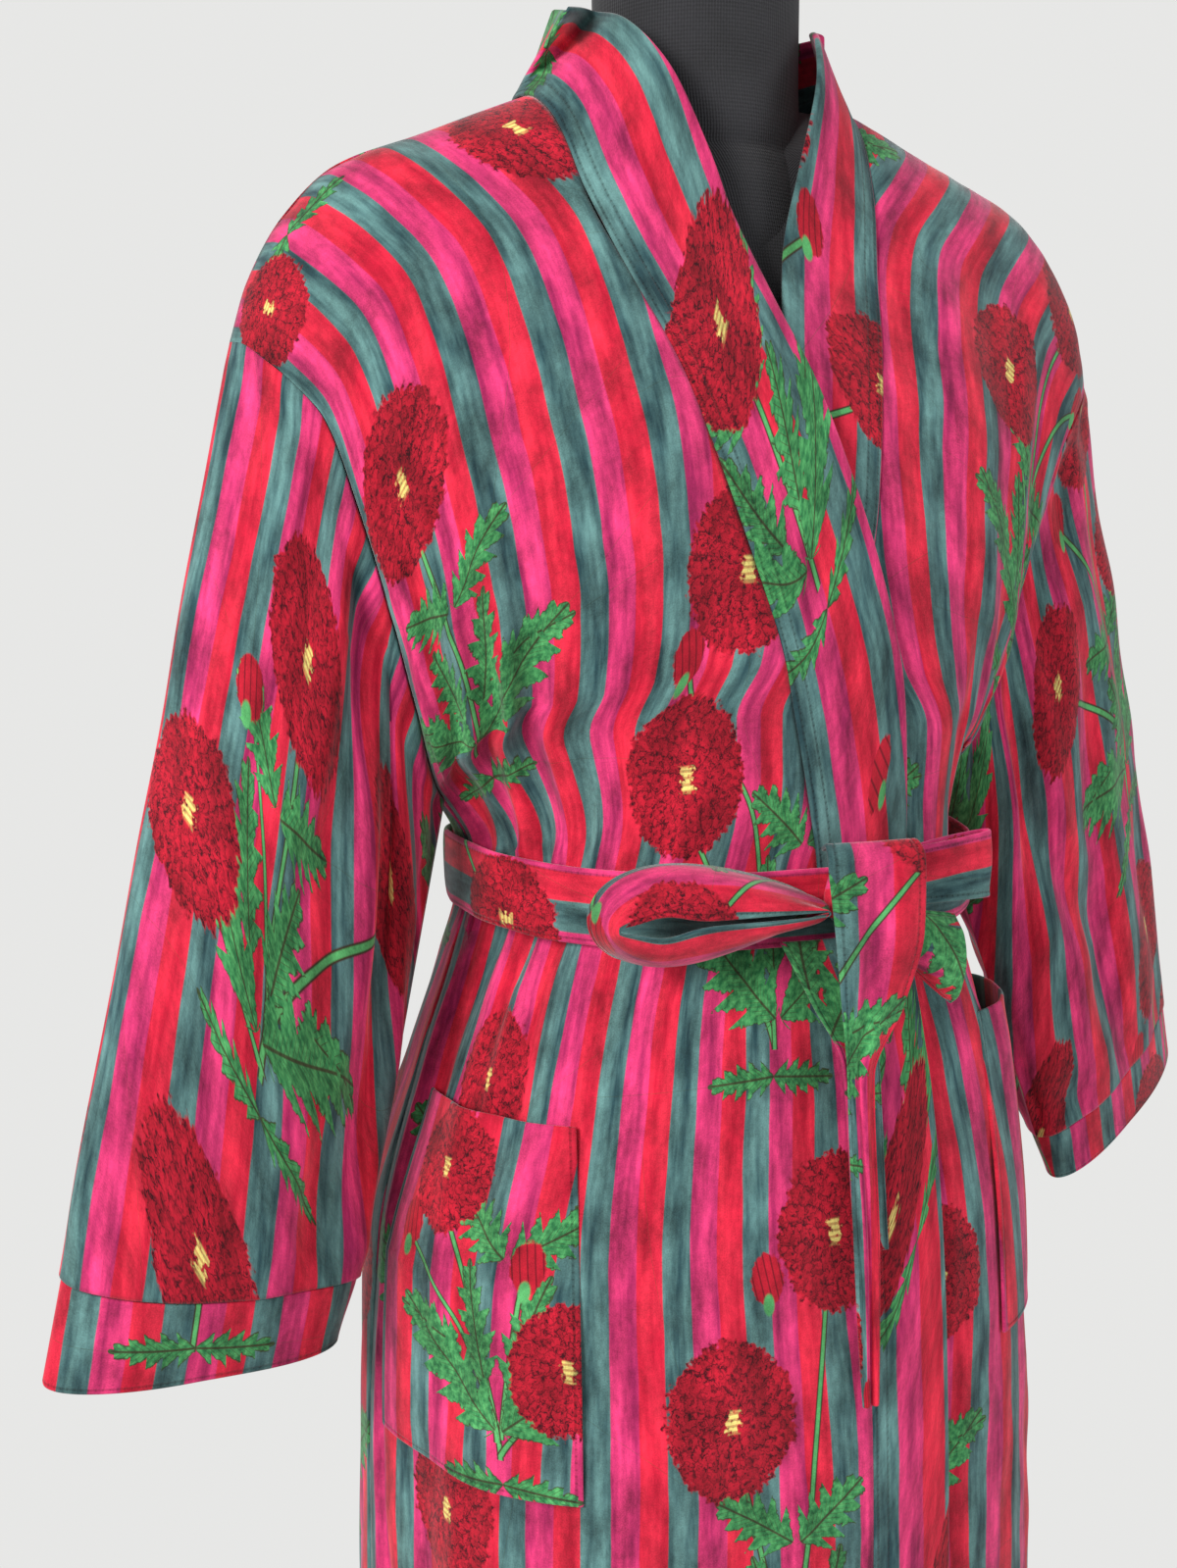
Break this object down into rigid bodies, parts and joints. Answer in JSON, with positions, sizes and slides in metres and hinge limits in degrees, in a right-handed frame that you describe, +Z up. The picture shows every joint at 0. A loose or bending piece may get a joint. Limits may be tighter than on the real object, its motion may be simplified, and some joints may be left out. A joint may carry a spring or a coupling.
{
  "type": "kimono-style velvet robe with belt on a limbless dress form",
  "caption": "Long wrap robe in striped velvet with a neckband, wide straight sleeves with cuffs, patch pockets and a belt tied in a bow, worn on a limbless dress form on a stand.",
  "frame": {"origin": "centre of the underside of the foot plate, on the floor", "axes": "+Z up, the robe's front faces -Y, the wearer's left is +X"},
  "size_m": [0.7521, 0.3358, 1.524],
  "materials": {
    "velvet": "cotton velvet, vertical stripes in teal, pink and red with printed flowering plants",
    "velvet_cuff": "cotton velvet cuff strip, same print",
    "velvet_band": "cotton velvet band folded double, stripes along its length",
    "velvet_belt": "cotton velvet belt folded double and topstitched",
    "form_jersey": "black ribbed jersey cover",
    "stand_metal": "satin black"
  },
  "bodies": {
    "root": {"front_right": "velvet", "front_left": "velvet", "back_panel": "velvet", "sleeve_right": "velvet", "sleeve_left": "velvet", "cuff_right": "velvet_cuff", "cuff_left": "velvet_cuff", "neckband_right": "velvet_band", "neckband_left": "velvet_band", "pocket_right": "velvet", "pocket_left": "velvet", "belt_waist": "velvet_belt", "belt_knot": "velvet_belt", "bow_loop_large": "velvet_belt", "bow_loop_small": "velvet_belt", "belt_tail_front": "velvet_belt", "belt_tail_second": "velvet_belt", "belt_short_end": "velvet_belt", "dress_form": "form_jersey", "stand_base": "stand_metal", "stand_pole": "stand_metal"}
  },
  "joints": []
}
